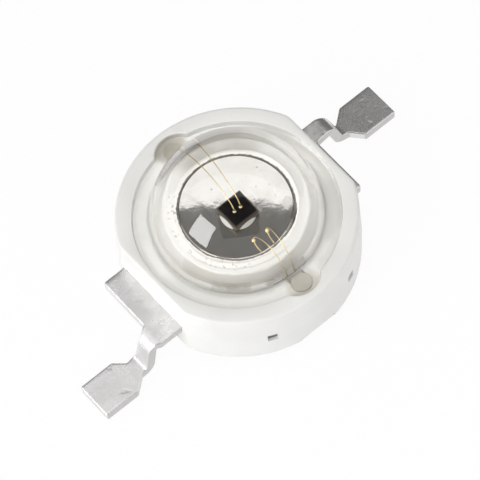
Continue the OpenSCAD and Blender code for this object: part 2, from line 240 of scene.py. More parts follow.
def lathe(rows, angles, loop_rows=False):
    """Carries rows (reach, height) round the axis. A reach is one number, or one for each angle."""
    reach = np.stack([r + 0 * angles for r, _ in rows])
    height = np.array([z for _, z in rows])[:, None] + 0 * reach
    points = np.stack([reach * np.cos(angles), reach * np.sin(angles), height], -1)
    return skin(points, loop_rows, loop_columns=True)


def arc(reach, height, radius, start, end, count):
    """Rows (reach, height) along an arc round a point, from one angle to another."""
    turn = np.linspace(start, end, count)
    return list(zip(reach + radius * np.cos(turn), height + radius * np.sin(turn)))


def with_lobes(angles, radius, lobe_y, lobe_r):
    """Reach of a disc joined by a smaller disc on +Y and one on -Y, along each angle."""
    across, along = np.abs(np.cos(angles)), np.abs(np.sin(angles))
    inside = lobe_r ** 2 - (lobe_y * across) ** 2
    far = lobe_y * along + np.sqrt(np.maximum(inside, 0))
    return np.where(inside > 0, np.maximum(radius, far), radius)


def seat_reach(angles):
    """Reach of the wall round the flange, with its ears."""
    return with_lobes(angles, FLANGE_R + SEAT_GAP, EAR_Y, EAR_R + SEAT_GAP)


def with_channels(angles, radius):
    """Reach of the trough: a disc joined by a channel to the filling port at each end."""
    across = np.maximum(np.abs(np.cos(angles)), TINY)
    port = with_lobes(angles, 0, PORT_Y, PORT_R)
    return np.maximum(radius, np.where(port > 0, port, np.minimum(PORT_R / across, PORT_Y)))


# %% [markdown]
# The lens is moulded in one shot: a dome, a small fillet at its foot, a flange and two ears.
# Under it the cavity is full of clear gel. Light bends at every such border, so both are closed
# surfaces with true curves. Where gel wets the solids round it, its hidden sides sink a hair into
# them, so that no ray can slip between two faces at the same place. The flange only rests on its
# seat, so a film of air is left there: it keeps the white under the flange as bright as the bare
# moulding. The slit round the flange is full of gel that crept up by itself, so the flange runs on
# into its wall with a soft rise. Each ear has a port that the gel was poured through. The ports
# are full, and what shows of them is the dull cured gel at the foot of the flange, whose beige is
# darkened as painted shade of the port's hollow. Near them the grid is finer, so that the ears
# come out round.

# %% Lens and gel
def near_ends(half, step):
    """Extra angles close to +Y and -Y, where the ears and ports are."""
    swing = np.arange(-half, half, step)
    return np.concatenate([90 + swing, 270 + swing])


LENS_ANGLES = fine_angles(near_ends(7.5, 0.3) + 0.11, 1.0)
SUNK, AIR, CREEP_R, CREEP_H = 0.03, 0.012, 0.2, 0.025
CAP_LOW, CAP_HIGH, CAP_R = SEAT_Z + 0.02, SEAT_Z + 0.05, PORT_R + 0.04


def lens_surface():
    """Dome, foot fillet, flange with ears that rises into its wall, and a bottom sunk into the trough."""
    fillet_z = FLANGE_TOP + ROOT_R
    foot_x = np.sqrt((DOME_R + ROOT_R) ** 2 - (fillet_z - DOME_Z) ** 2)
    lowest = np.arcsin((fillet_z - DOME_Z) / (DOME_R + ROOT_R))
    rows = arc(0, DOME_Z, DOME_R, np.pi / 2, lowest, 110)
    rows += arc(foot_x, fillet_z, ROOT_R, np.pi + lowest, 1.5 * np.pi, 7)[1:]
    edge = seat_reach(LENS_ANGLES)
    for share in np.linspace(0, 1, 34)[1:]:
        rows.append((foot_x + share * (edge - CREEP_R - foot_x), FLANGE_TOP))
    for share in np.linspace(0, 1 + SUNK / CREEP_R, 8)[1:]:
        rows.append((edge - CREEP_R * (1 - share), FLANGE_TOP + CREEP_H * share * share))
    well, bottom = with_channels(LENS_ANGLES, TROUGH_R) + 2 * SUNK, TROUGH_Z - 2 * SUNK
    rows += [(edge + SUNK, SEAT_Z + AIR), (well, SEAT_Z + AIR), (well, bottom), (0, bottom)]
    return lathe(rows, LENS_ANGLES)


def gel_surface():
    """Inner dome, the lens's underside, and a trough whose sides are sunk into the moulding."""
    well, bottom = with_channels(LENS_ANGLES, TROUGH_R) + SUNK, TROUGH_Z - SUNK
    rows = arc(0, DOME_Z, VOID_R, np.pi / 2, 0, 80)
    return lathe(rows + [(VOID_R, SEAT_Z), (well, SEAT_Z), (well, bottom), (0, bottom)], LENS_ANGLES)


def port_caps():
    """The cured top of the gel in each port: a thin drum at the foot of the flange."""
    outline = rounded([[0, CAP_HIGH, 0], [CAP_R, CAP_HIGH, 0.01], [CAP_R, CAP_LOW, 0.01], [0, CAP_LOW, 0]])
    points, faces = lathe(outline, fine_angles(step=5))
    return [(points + [0, side * PORT_Y, 0], faces) for side in (-1, 1)]


piece("clear_dome", [lens_surface()], "clear_lens", ["lens"], crisp=40)
piece("clear_filling", [gel_surface()], "clear_gel", ["encapsulant"], crisp=40)
caps = piece("gel_caps", port_caps(), "clear_gel", crisp=40)

# %% [markdown]
# The white moulding is a round body with two flats, a seat for the lens, a trough with the
# collar of the slug in its middle, four cut tie bars in its wall and a flat gate mark. All of
# that is still one grid, because every wall can be given as a reach along each angle. Where a
# slot begins, two lines of the grid fall on the same angle: one stays on the wall and the other
# drops to the slot's floor, which makes the step. The corners between round and flat are blunted
# by a soft minimum, a formula that glides from one value to the other where they are equal. A
# thin skin of plastic flashed over the slug's shoulder, up to the rim of the mirror, and its edge
# is ragged.

# %% White moulding
FLASH_Z, OPEN_SIDE = SHOULDER_Z + 0.025, -46
WALL, TIE, GATE = 0, 1, 2


def soft_min(a, b, width=0.02):
    """The smaller of a and b, rounded off over a few widths where they cross."""
    return np.minimum(a, b) - width * np.log1p(np.exp(-np.abs(a - b) / width))


def moulding_columns(step=0.5):
    """Angles of the columns in turn, and what each one lies in: wall, tie slot or gate."""
    half_tie, half_gate = np.degrees(TIE_W / 2 / BODY_R), np.degrees(np.arcsin(GATE_W / 2 / BODY_R))
    cuts = [(side + swing, half_tie, TIE) for side in (90, 270) for swing in (-TIE_ANGLE, TIE_ANGLE)]
    angles, kinds, last = [], [], 0
    for middle, half, kind in sorted(cuts + [(270, half_gate, GATE), (360, 0, WALL)]):
        for low, high, mark in ((last, middle - half, WALL), (middle - half, middle + half, kind)):
            if high > low:
                angles.append(np.linspace(low, high, int((high - low) / step) + 2))
                kinds.append(np.full(len(angles[-1]), mark))
        last = middle + half
    return np.radians(np.concatenate(angles))[:-1], np.concatenate(kinds)[:-1]


def flash_edge(angles):
    """Ragged edge of the white skin round the mirror: a few sines, and one place that stays open."""
    ripple = sum(np.sin(waves * angles + start) for waves, start in ((11, 1), (23, 4), (41, 0), (67, 2)))
    away = np.degrees(np.abs(np.angle(np.exp(1j * (angles - np.radians(OPEN_SIDE))))))
    return MIRROR_R + 0.03 + 0.004 * ripple + 0.05 * np.exp(-(away / 16) ** 2)


def moulding_surface():
    """One closed loop of outline, from the underside over the wall, seat and trough to the slug."""
    angles, kinds = moulding_columns()
    across, along = np.abs(np.cos(angles)), np.abs(np.sin(angles))
    slope = np.tan(np.radians(DRAFT))
    wall = rounded([
        [0, STAND_OFF, 0], [BODY_R - (LEAD_Z - STAND_OFF) * slope, STAND_OFF, 0.05], [BODY_R, LEAD_Z, 0],
        [BODY_R - (TOP_Z - LEAD_Z) * slope, TOP_Z, 0.1], [0, TOP_Z, 0],
    ], 8)[1:-1]
    steps = (
        (GATE_TOP, GATE), (GATE_TOP, WALL), (LEAD_Z, WALL), (LEAD_Z, TIE), (LEAD_TOP, TIE), (LEAD_TOP, WALL)
    )
    outline = [(r, z, GATE) for r, z in wall if z < GATE_TOP]
    outline += [(BODY_R - abs(z - LEAD_Z) * slope, z, kind) for z, kind in steps]
    outline += [(r, z, WALL) for r, z in wall if z > LEAD_TOP]
    rows = [(SLUG_R, STAND_OFF)]
    for radius, z, opened in outline:
        reach = soft_min(radius, (FLAT_X - (BODY_R - radius)) / np.maximum(across, TINY))
        floor = np.where(kinds == TIE, TIE_END - TIE_PROUD, GATE_Y / np.maximum(along, TINY))
        cut = (kinds == opened) & (opened != WALL)
        rows.append((np.where(cut, np.minimum(reach, floor), reach), z))
    seat, flash, under = seat_reach(angles), flash_edge(angles), SHOULDER_Z - 0.02
    rows += [(seat + inset, TOP_Z - drop) for inset, drop in ((0.04, 0), (0.012, 0.012), (0, 0.04))]
    rows += [
        (seat, SEAT_Z), (with_channels(angles, TROUGH_R), SEAT_Z),
        (with_channels(angles, TROUGH_FLOOR_R), TROUGH_Z),
        *rounded([[COLLAR_R, TROUGH_Z, 0], [COLLAR_R, COLLAR_Z, 0.07], [COLUMN_R, COLLAR_Z, 0]], 8)[:-1],
        (COLUMN_R, FLASH_Z - 0.03), (COLUMN_R - 0.05, FLASH_Z), (flash, FLASH_Z), (flash, under),
        (COLUMN_R, under), (COLUMN_R, SLUG_BASE), (SLUG_R, SLUG_BASE),
    ]
    return lathe(rows, angles, loop_rows=True)


piece("white_body", [moulding_surface()], "white_moulding", ["housing"], crisp=25)

# %% [markdown]
# The slug is turned from copper and plated: a broad base that is soldered down, and a column
# with a rounded shoulder. On its end lies the mirror, a flat raised disc with a crisp rim.

# %% Heat slug
def slug_outline():
    """From the middle of the solder face, up the column and over the shoulder to the mirror."""
    return rounded([
        [0, 0, 0], [SLUG_R, 0, 0.08], [SLUG_R, SLUG_BASE, 0.08], [COLUMN_R, SLUG_BASE, 0],
        [COLUMN_R, SHOULDER_Z, 0.04], [MIRROR_R, SHOULDER_Z, 0.02],
        [MIRROR_R, MIRROR_Z, 0.04], [0, MIRROR_Z, 0],
    ], 10)


piece("plated_slug", [lathe(slug_outline(), fine_angles())], "silver_plate", ["heat_slug"])

# %% [markdown]
# Each lead is stamped from sheet and bent twice. It is worked out flat first: the two long
# edges of its outline are followed side by side, with a rolled rim between its faces, and then
# every point is carried onto the bent path, which runs level out of the wall, down a steep neck
# and level again along the board. Bending by formula keeps the sheet's thickness true.

# %% Bent leads
BEND_OUT = BEND_R + LEAD_T
BEND_MID = BEND_R + LEAD_T / 2
LEAD_START = 1.95
RIM_R = 0.05


def run_of(path):
    """How far along a flat path each of its points lies."""
    return np.concatenate([[0], np.cumsum(np.hypot(*np.diff(path, axis=0).T))])


def along_path(path, count):
    """The path again as evenly spaced points."""
    gone = run_of(path)
    even = np.linspace(0, gone[-1], count)
    return np.stack([np.interp(even, gone, path[:, k]) for k in (0, 1)], 1)


def square_to(path):
    """Unit directions square to a flat path, on the left of its run."""
    step = np.gradient(path, axis=0)
    length = np.linalg.norm(step, axis=1, keepdims=True)
    return np.stack([-step[:, 1], step[:, 0]], 1) / np.maximum(length, 1e-9)


def bent_path(angle):
    """Middle of the sheet as rows (distance, x, z, turn): flat, arc, slope at angle, arc, flat."""
    steep = np.radians(angle)
    fall = LEAD_Z - LEAD_T - 2 * BEND_R + (BEND_R + BEND_OUT) * np.cos(steep)
    foot = BEND_X + (BEND_R + BEND_OUT) * np.sin(steep) + fall / np.tan(steep)
    turn = np.linspace(0, steep, 40)
    upper = np.stack([BEND_X + BEND_MID * np.sin(turn), LEAD_Z - BEND_R + BEND_MID * np.cos(turn), turn], 1)
    lower = np.stack([foot - BEND_MID * np.sin(turn), BEND_OUT - BEND_MID * np.cos(turn), turn], 1)[::-1]
    first, last = [[0, LEAD_Z + LEAD_T / 2, 0]], [[PAD_END + 1, LEAD_T / 2, 0]]
    way = np.concatenate([first, upper, lower, last])
    return np.column_stack([run_of(way[:, :2]), way])


def onto_path(way, flat):
    """Carries (distance, y, height off the middle) onto the bent path."""
    x, z, turn = (np.interp(flat[..., 0], way[:, 0], way[:, k]) for k in (1, 2, 3))
    lift = flat[..., 2]
    return np.stack([x + lift * np.sin(turn), flat[..., 1], z + lift * np.cos(turn)], -1)


def edge_at(way, edge, distances):
    """The y of an edge, a path of (x, y) seen from above, at distances along the bent path."""
    along = np.interp(edge[:, 0], way[:, 1], way[:, 0])
    return np.stack([distances, np.interp(distances, along, edge[:, 1])], 1)


def lead_edges(way, tab_x, root, waist):
    """Both long edges of the sheet, flat, as matched rows (distance, y)."""
    run = PAD_START - NECK_X
    tight, wide = 0.11 * run, 0.18 * run
    low, high = PAD_Y - PAD_W / 2, PAD_Y + PAD_W / 2
    inner = rounded([
        [tab_x, root, 0], [NECK_X, NECK_IN, wide], [NECK_X + 0.34 * run, waist, 0.27 * run],
        [NECK_X + 0.65 * run, (waist + NECK_IN) / 2, tight], [PAD_START, low, tight], [PAD_END, low, 0],
    ], 12)
    outer = rounded([
        [LEAD_START, TAB_Y, 0], [BEND_X, TAB_Y, 0.04], [NECK_X, NECK_OUT, wide],
        [NECK_X + 0.54 * run, NECK_OUT, tight], [PAD_START, high, tight], [PAD_END, high, 0],
    ], 12)
    end = np.interp(PAD_END, way[:, 1], way[:, 0])
    corner_r, fan = 0.07, 0.7
    straight = np.linspace(LEAD_START, tab_x - fan, 12)
    side = rounded([[tab_x - fan, -TAB_Y, 0], [tab_x, -TAB_Y, 0.09], [tab_x, root - 0.12, 0]], 10)
    side = along_path(side, 40)
    root_turn = rounded([[tab_x, root - 0.12, 0], [tab_x, root, 0.1], [NECK_X, NECK_IN, 0]], 8)
    root_turn = along_path(root_turn[:-1], 8)
    fanned = np.linspace(tab_x - fan, root_turn[-1, 0], len(side) + len(root_turn))
    level = np.linspace(root_turn[-1, 0], end - corner_r, 190)[1:]
    corner = np.linspace(0, np.pi / 2, 8)[1:]
    rounding = np.stack([end - corner_r + corner_r * np.sin(corner), corner_r * np.cos(corner)], 1)
    across = np.linspace(0, 1, 8)[1:, None]
    lower_turn = np.column_stack([rounding[:, 0], low + corner_r - rounding[:, 1]])
    upper_turn = np.column_stack([rounding[:, 0], high - corner_r + rounding[:, 1]])
    middle = np.array([end, PAD_Y])
    a = np.concatenate([
        np.column_stack([straight, np.full(12, -TAB_Y)]), side, root_turn,
        edge_at(way, inner, level), lower_turn, lower_turn[-1] + across * (middle - lower_turn[-1]),
    ])
    b = np.concatenate([
        np.column_stack([straight, np.full(12, TAB_Y)]), edge_at(way, outer, fanned),
        edge_at(way, outer, level), upper_turn, upper_turn[-1] + across * (middle - upper_turn[-1]),
    ])
    return a, b


def sheet_surface(tab_x, root, waist, angle):
    """Both faces and the rolled rims of a lead as one tube, closed at its two ends."""
    way = bent_path(angle)
    a, b = lead_edges(way, tab_x, root, waist)
    into_a, into_b = square_to(a), -square_to(b)
    roll = np.linspace(0, np.pi / 2, 5)
    inset = RIM_R * (1 - np.sin(roll))
    height = LEAD_T / 2 - RIM_R * (1 - np.cos(roll))
    inset = np.concatenate([inset, inset[::-1]])
    height = np.concatenate([height, -height[::-1]])
    rim_a = [(a + into_a * i, h) for i, h in zip(inset[::-1], height[::-1])]
    rim_b = [(b + into_b * i, h) for i, h in zip(inset, height)]
    share = np.linspace(0, 1, 22)[1:-1]
    top = [(rim_a[-1][0] * (1 - s) + rim_b[0][0] * s, LEAD_T / 2) for s in share]
    bottom = [(rim_b[-1][0] * (1 - s) + rim_a[0][0] * s, -LEAD_T / 2) for s in share]
    loop = rim_a + top + rim_b + bottom
    flat = np.stack([np.column_stack([p, np.full(len(p), h)]) for p, h in loop], 1)
    first = flat[:1].mean(axis=1, keepdims=True) + 0 * flat[:1]
    points = onto_path(way, np.concatenate([first, flat]))
    return skin(points, loop_columns=True)


# %% [markdown]
# Inside the moulding each lead carries on as an arm round the slug, with two tie bars that were
# cut off at the wall and a post that its gold wires are bonded to. The arm and the bars are one
# cross-section carried along a path, and the post is a slice of a ring.

# %% Arms, tie bars and posts
ARM_OUT, TIE_PLAY, BLUNT = 3, 0.02, 0.03
AS_DRAWN, HALF_TURN = (1, 1, 1), (-1, -1, 1)


def capped(grid):
    """A tube whose rows are closed loops, with each end drawn together in its middle."""
    first, last = (grid[k].mean(axis=0) + 0 * grid[:1] for k in (0, -1))
    return skin(np.concatenate([first, grid, last]), loop_columns=True)


def bar(path, width, low, high):
    """A flat bar with blunted edges along a level path of (x, y), closed at both ends."""
    side = square_to(path)
    half, tall = width / 2, (high - low) / 2
    section = rounded([
        [-half, -tall, BLUNT], [half, -tall, BLUNT], [half, tall, BLUNT], [-half, tall, BLUNT]
    ], 3, closed=True)
    return capped(np.stack([
        np.column_stack([path + side * across, np.full(len(path), (low + high) / 2 + up)])
        for across, up in section
    ], 1))


def post_surface():
    """A slice of a ring under the lens, |x| up to half its width, with a blunted top edge."""
    x = np.linspace(-1, 1, 17)
    rows = []
    for inset, z in (
        (BLUNT * 0.3 + 0.3, LEAD_Z), (0, LEAD_Z), (0, POST_Z - BLUNT),
        (BLUNT * 0.3, POST_Z - BLUNT * 0.3), (BLUNT, POST_Z),
    ):
        half = POST_W / 2 - inset
        near = np.stack([x * half, np.sqrt((POST_IN + inset) ** 2 - (x * half) ** 2)], 1)
        far = np.stack([x * half, np.sqrt((POST_OUT - inset) ** 2 - (x * half) ** 2)], 1)[::-1]
        ring = np.concatenate([near, far])
        rows.append(np.column_stack([ring, np.full(len(ring), z)]))
    floor, spine = ((rows[k] + rows[k][::-1]) / 2 for k in (0, -1))
    return skin(np.stack([floor, *rows, spine]), loop_columns=True)


def lead_skins(tab_x, root, waist, angle, turn):
    """One lead: bent sheet, arm, tie bars and post. The neck starts at root and narrows to waist."""
    arm_r, arm_w = (LEAD_START + ARM_OUT) / 2, ARM_OUT - LEAD_START
    sweep = np.radians(np.linspace(0, 120, 60))
    arm = arm_r * np.stack([np.cos(sweep), np.sin(sweep)], 1)
    skins = [sheet_surface(tab_x, root, waist, angle), bar(arm, arm_w, LEAD_Z, LEAD_TOP)]
    for swing in (-TIE_ANGLE, TIE_ANGLE):
        heading = np.radians(90 + swing)
        path = np.linspace(arm_r, TIE_END, 6)[:, None] * [np.cos(heading), np.sin(heading)]
        skins.append(bar(path, TIE_W - 2 * TIE_PLAY, LEAD_Z + TIE_PLAY, LEAD_TOP - TIE_PLAY))
    skins.append(post_surface())
    return [(points * turn, faces) for points, faces in skins]


deep, shallow = (DEEP_TAB, 0.58, 0.69, DEEP_ANGLE), (SHALLOW_TAB, 0.74, 0.9, SHALLOW_ANGLE)
piece("left_lead", lead_skins(*deep, HALF_TURN), "tin_plate", ["anode_lead"])
piece("right_lead", lead_skins(*shallow, AS_DRAWN), "tin_plate", ["cathode_lead"])

# %% [markdown]
# A gold wire starts as a ball that was pressed flat, rises in a loop and ends as a wedge that
# was stamped onto its post. Its loop is a cubic curve: two ends, and two points that pull it up.
# The wires show only as hairlines, yet they carry the eye, so they get a waist above the ball and
# a flattened end. The far side of the mirror is dulled by flux and shows no hairlines, so the two
# wires over it leave no image there. The chip is a plain block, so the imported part's own mesh
# serves for it.

# %% Chip, paste and gold wires
WIRE_LOOP, WEDGE_FROM, WEDGE_RUN = 0.38, 0.94, 0.06


def cubic(ends, pulls, count):
    """Points of the cubic curve between two ends, drawn towards two pulls."""
    t = np.linspace(0, 1, count)[:, None]
    a, d = np.array(ends, float)
    b, c = np.array(pulls, float)
    return (1 - t) ** 3 * a + 3 * (1 - t) ** 2 * t * b + 3 * (1 - t) * t ** 2 * c + t ** 3 * d


def gold_wire(start, finish, loop):
    """A round wire in an upright plane, with its ball and its stamped end."""
    start, finish = np.array(start, float), np.array(finish, float)
    heading = finish[:2] - start[:2]
    length = np.linalg.norm(heading)
    heading = np.append(heading / length, 0)
    side = np.array([-heading[1], heading[0], 0])
    ball_top = start[2] + BALL_H - WIRE_D / 4
    peak = ball_top + loop * 4 / 3
    way = cubic(
        [[0, ball_top], [length, finish[2] + 0.012]], [[0.1, peak], [length - 0.25, peak]], 72
    )
    up = square_to(way)
    around = np.radians(np.arange(0, 360, 30))
    done = np.linspace(0, 1, len(way))[:, None]
    stamp = np.clip((done - WEDGE_FROM) / WEDGE_RUN, 0, 1)
    neck = 1 + 0.7 * np.exp(-done * 60)
    high = WIRE_D / 2 * neck * (1 - 0.45 * stamp) * np.cos(around)
    wide = WIRE_D / 2 * neck * (1 + 1.2 * stamp) * np.sin(around)
    forward, rise = way[:, :1] + high * up[:, :1], way[:, 1:] + high * up[:, 1:]
    points = np.append(start[:2], 0) + forward[..., None] * heading + wide[..., None] * side
    points[..., 2] = rise
    bulge, foot = BALL_D / 2, BALL_H / 2
    ball = rounded([
        [0, 0, 0], [bulge, 0, foot * 0.9], [bulge, BALL_H, foot * 0.9], [WIRE_D * 0.8, BALL_H, 0.01],
        [WIRE_D * 0.5, BALL_H + 0.02, 0], [0, BALL_H + 0.02, 0],
    ], 6)
    drum, faces = lathe(ball, fine_angles(step=15))
    return [capped(points), (drum + start, faces)]


CHIP_WIRES = [((s * 0.095, CHIP_Y, CHIP_TOP), (0.3 + s * 0.18, POST_Y, POST_Z)) for s in (-1, 1)]
CUP_WIRES = [((0.02 + s * 0.21, -0.86, MIRROR_Z), (0.07 + s * 0.13, -POST_Y, POST_Z)) for s in (-1, 1)]
WIRE_NODES = ["chip_wire_a", "chip_wire_b", "cup_wire_a", "cup_wire_b"]
for node, (start, finish) in zip(WIRE_NODES, CHIP_WIRES + CUP_WIRES):
    wire = piece("gold_" + node, gold_wire(start, finish, WIRE_LOOP), "gold_wire", [node], crisp=50)
    wire.visible_glossy = node.startswith("cup")


def paste_skin(spread=0.43, fillet_h=0.1):
    """Silver paste squeezed out past the chip: a bead whose rim curls down to the mirror."""
    t = np.linspace(0, 1, 9)[:, None]
    low, pull, high = np.array([[spread, 0.0], [spread - 0.02, 0.06], [CHIP_W / 2, fillet_h]])
    rim = low * (1 - t) ** 2 + pull * 2 * t * (1 - t) + high * t ** 2
    outline = np.concatenate([[[0, 0]], rim, [[0, fillet_h * 0.9]]])
    points, faces = lathe(outline + [0, MIRROR_Z], fine_angles(step=5))
    return points + [0, CHIP_Y, 0], faces


piece("silver_bead", [paste_skin()], "silver_paste", ["die_attach"])
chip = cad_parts["emitter_chip"]

# %% [markdown]
# Finishes are built from shader nodes. A small class wraps the output of a node, so that a line
# of arithmetic in Python adds the Math nodes by itself, and one method makes every other node.

# %% Shader arithmetic
class Signal:
    """An output of a shader node. Arithmetic on it adds Math nodes to the same finish."""

    def __init__(self, finish, socket):
        self.finish, self.socket = finish, socket

    def math(self, operation, *values):
        return self.finish.add("ShaderNodeMath", {"operation": operation}, dict(enumerate(values)))

    def __add__(self, other):
        return self.math("ADD", self, other)

    def __sub__(self, other):
        return self.math("SUBTRACT", self, other)

    def __rsub__(self, other):
        return self.math("SUBTRACT", other, self)

    def __mul__(self, other):
        return self.math("MULTIPLY", self, other)

    def __pow__(self, other):
        return self.math("POWER", self, other)

    __radd__, __rmul__ = __add__, __mul__

    def __abs__(self):
        return self.math("ABSOLUTE", self)

    def between(self, low, high, start=0.0, end=1.0):
        """Moves from start to end as this signal goes from low to high, smoothly."""
        return self.finish.add(
            "ShaderNodeMapRange", {"interpolation_type": "SMOOTHSTEP"},
            {"Value": self, "From Min": low, "From Max": high, "To Min": start, "To Max": end},
        )

    def fading(self, low, high):
        """Goes from 1 to 0 as this signal goes from low to high."""
        return self.between(low, high, 1.0, 0.0)


def inside(signal, low, high, soft):
    """1 where a signal lies from low to high, with soft ends."""
    return signal.between(low - soft, low) * signal.fading(high, high + soft)


class Finish:
    """A material, or the light of a world, whose nodes are made by short calls."""

    def __init__(self, name, library=bpy.data.materials):
        self.made = library.new(name)
        self.made.use_nodes = True
        self.tree = self.made.node_tree
        self.tree.nodes.clear()
        place = self.add("ShaderNodeTexCoord", output="Object")
        self.grid = self.add("ShaderNodeVectorMath", {"operation": "SCALE"}, {0: place, "Scale": 1 / MM})

    def add(self, kind, settings=None, inputs=None, output=0):
        """Adds a node, sets its settings, then gives its sockets their values or links."""
        node = self.tree.nodes.new(kind)
        for key, value in (settings or {}).items():
            setattr(node, key, value)
        for key, value in (inputs or {}).items():
            if isinstance(value, Signal):
                self.tree.links.new(value.socket, node.inputs[key])
            else:
                node.inputs[key].default_value = value
        return Signal(self, node.outputs[output])

    def noise(self, scale, detail=3.0, stretch=(1, 1, 1), seed=(0, 0, 0), turn=0.0):
        """Cloudy noise from 0 to 1 with so many features to the millimetre, turned in degrees."""
        turned = self.add("ShaderNodeVectorRotate", {"rotation_type": "Z_AXIS"}, {
            "Vector": self.grid, "Angle": np.radians(turn)
        })
        moved = self.add("ShaderNodeMapping", None, {"Vector": turned, "Location": seed, "Scale": stretch})
        return self.add("ShaderNodeTexNoise", None, {"Vector": moved, "Scale": scale, "Detail": detail})

    def blend(self, share, a, b):
        """Colour a where share is 0 and colour b where it is 1."""
        a, b = (v if isinstance(v, Signal) else (*v, 1) for v in (a, b))
        return self.add("ShaderNodeMix", {"data_type": "RGBA"}, {0: share, 6: a, 7: b}, output=2)

    def layers(self, colour, *tones):
        """Lays each tone, given as (share, tone), over the colour so far."""
        for share, tone in tones:
            colour = self.blend(share, colour, tone)
        return colour

    def place_in(self, axis):
        """One coordinate in millimetres: 0 is x, 1 is y and 2 is z."""
        return self.add("ShaderNodeSeparateXYZ", None, {0: self.grid}, output=axis)

    def from_axis(self, y=0.0):
        """Distance in millimetres from the axis, or from the upright lines at y and -y."""
        across, along = self.place_in(0), abs(self.place_in(1)) - y
        return (across * across + along * along) ** 0.5

    def heading(self):
        """Angle round the part in degrees, from -180 to 180."""
        x, y = self.place_in(0), self.place_in(1)
        return y.math("ARCTAN2", y, x) * (180 / np.pi)

    def ray(self, fact):
        """A fact about the ray at hand, such as Glossy Depth."""
        return self.add("ShaderNodeLightPath", output=fact)

    def seen(self):
        """1 or more for rays from the camera, metal or glass, and 0 for matt light."""
        return sum(self.ray(f"Is {kind} Ray") for kind in ("Camera", "Glossy", "Transmission"))

    def bump(self, height, depth):
        """A normal bent by height, which is worth depth in millimetres at 1."""
        return self.add("ShaderNodeBump", None, {"Height": height, "Distance": depth * MM})

    def shade(self, **sockets):
        """The surface shader itself. Socket names have underscores here for spaces."""
        inputs = {name.replace("_", " "): value for name, value in sockets.items()}
        return self.add("ShaderNodeBsdfPrincipled", None, inputs)

    def glow(self, colour, strength):
        """A surface that shines by itself."""
        return self.add("ShaderNodeEmission", None, {"Color": (*colour, 1), "Strength": strength})

    def done(self, surface, kind="Material"):
        """Ends the finish with its output node and returns the material or world."""
        output = self.tree.nodes.new("ShaderNodeOutput" + kind)
        self.tree.links.new(surface.socket, output.inputs["Surface"])
        return self.made


# %% [markdown]
# The moulding is glass-filled nylon, white with a faint warmth, satin all over, with a fine
# mould texture and small specks. Its colour is kept below pure white so that light can still
# shape it. The seat and the trough under the lens are painted paler than the wall and the collar,
# as painted light that makes up for the light the lens and gel hold back. Painted shade darkens a
# stretch of the trough on the side of the dark card and parts of the seat under the flange. The
# work left its marks, each in its place: a bead of resin at the foot of the collar, fine arcs and
# grit round the mirror, and a beige stain round each port, deepened by painted shade of its hollow.

# %% White plastic
SEAT_EDGE, TROUGH_EDGE, COLLAR_EDGE = 3.38, 2.66, 1.82


def white_plastic():
    f = Finish("white plastic")
    reach, around, height = f.from_axis(), f.heading(), f.place_in(2)
    cloud = f.noise(0.7, 2)
    specks = f.noise(9, 4, seed=(3, 1, 2)).between(0.68, 0.78)
    # painted shade: a stretch of the trough on the side of the dark card is darkened, with cloudy strength
    card_side_shade = inside(around, 44, 86, 20) * inside(reach, 1.5, TROUGH_EDGE, 0.08)
    card_side_shade = card_side_shade * f.noise(1.2).between(0.2, 0.6, 0.5, 1)
    # painted shade: parts of the seat under the flange are darkened, more on one side than the other
    flange_shade = inside(around, -70, 30, 25) * 0.55 + inside(around, -165, -95, 20) * 0.4
    flange_shade = flange_shade * inside(reach, TROUGH_EDGE, SEAT_EDGE, 0.05)
    resin = height.fading(2.18, 2.27) * inside(reach, 1.7, 1.96, 0.07)
    resin = resin * inside(around, -150, -121, 2)
    resin = resin * f.noise(3.2, 4, seed=(2, 8, 5)).between(0.36, 0.58, 0.3, 1)
    arcs = reach.math("SINE", (reach + f.noise(0.8, 2) * 0.1) * 42).between(0.1, 1)
    arcs = arcs * inside(reach, 1.45, 1.8, 0.03) * inside(around, -172, -84, 14)
    grit = f.noise(13, seed=(7, 3, 9)).between(0.6, 0.68) * inside(reach, 1.42, 1.64, 0.05)
    grit = grit * inside(abs(around), 128, 180, 20)
    # a beige stain round each port, darkened further as painted shade of the port's hollow
    port_stain_and_shade = (f.from_axis(PORT_Y + 0.17) + f.noise(3) * 0.3).between(0.6, 0.88, 0.75, 0)
    port_stain_and_shade = port_stain_and_shade * inside(height, 2.25, 2.6, 0.06) * reach.fading(3.72, 3.76)
    colour = f.layers(
        f.blend(cloud.between(0.3, 0.7), (0.85, 0.85, 0.835), (0.82, 0.815, 0.80)),
        (specks * 0.35, (0.6, 0.59, 0.56)),
        # painted light: the seat and trough under the lens are paler, making up for light that the lens and
        # gel hold back
        (reach.fading(SEAT_EDGE, SEAT_EDGE + 0.05), (0.97, 0.97, 0.95)),
        (reach.fading(TROUGH_EDGE, TROUGH_EDGE + 0.05), (0.97, 0.965, 0.94)),
        (reach.fading(COLLAR_EDGE, COLLAR_EDGE + 0.05), (0.84, 0.835, 0.81)),
        # painted shade on the dark card's side of the trough
        (card_side_shade * 0.85, (0.46, 0.45, 0.42)),
        # painted shade under the flange
        (flange_shade, (0.56, 0.55, 0.52)),
        (resin * 0.5, (0.36, 0.33, 0.27)),
        (arcs * 0.35, (0.5, 0.46, 0.4)),
        (grit * 0.7, (0.3, 0.26, 0.21)),
        # beige stain and painted shade round the ports
        (port_stain_and_shade, (0.55, 0.52, 0.46)),
    )
    grain = f.noise(22, 5) * 0.7 + f.noise(5) * 0.6
    rough = f.noise(4).between(0.3, 0.7, 0.38, 0.5)
    return f.done(f.shade(
        Base_Color=colour, Roughness=rough, Specular_IOR_Level=0.4, Normal=f.bump(grain, 0.004),
    ))


# %% [markdown]
# The raised disc is polished and silver plated, bright enough to mirror the studio. It shows faint
# press marks and tarnish in places, and a mirror that is too perfect would look drawn. Its rim is
# dark where resin gathered, in a wider line on the side with the flux and on the side that the
# white flash left open. One worn patch scatters light.

# %% Bright silver
WORN = (1.03, -0.62)


